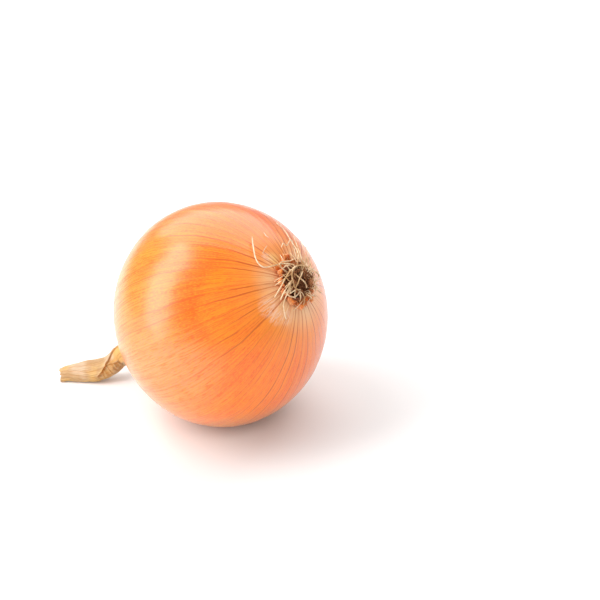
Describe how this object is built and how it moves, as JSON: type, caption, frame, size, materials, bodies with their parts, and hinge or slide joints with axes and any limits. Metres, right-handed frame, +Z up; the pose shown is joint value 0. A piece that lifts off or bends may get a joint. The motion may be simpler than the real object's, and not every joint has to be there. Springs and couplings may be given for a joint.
{
  "type": "onion",
  "caption": "Whole brown onion lying on its side: round papery bulb, withered neck along the surface, corky root plate with a tuft of dry roots.",
  "frame": {"origin": "middle of the small flat spot that the bulb rests on", "axes": "+Z up; +X along the surface from the neck's side to the root's side, so that the root end points to +X and up; +Y completes the frame"},
  "size_m": [0.0987, 0.0756, 0.0741],
  "materials": {
    "onion_skin": "thin glossy papery skin, light orange with fine darker veins running from root to neck",
    "withered_leaf": "matt, dry and pleated, straw to yellow-ochre",
    "dry_root": "matt dark brown cork with tan dry roots"
  },
  "bodies": {
    "root": {"bulb": "onion_skin", "neck": "withered_leaf", "root_tuft": "dry_root"}
  },
  "joints": []
}
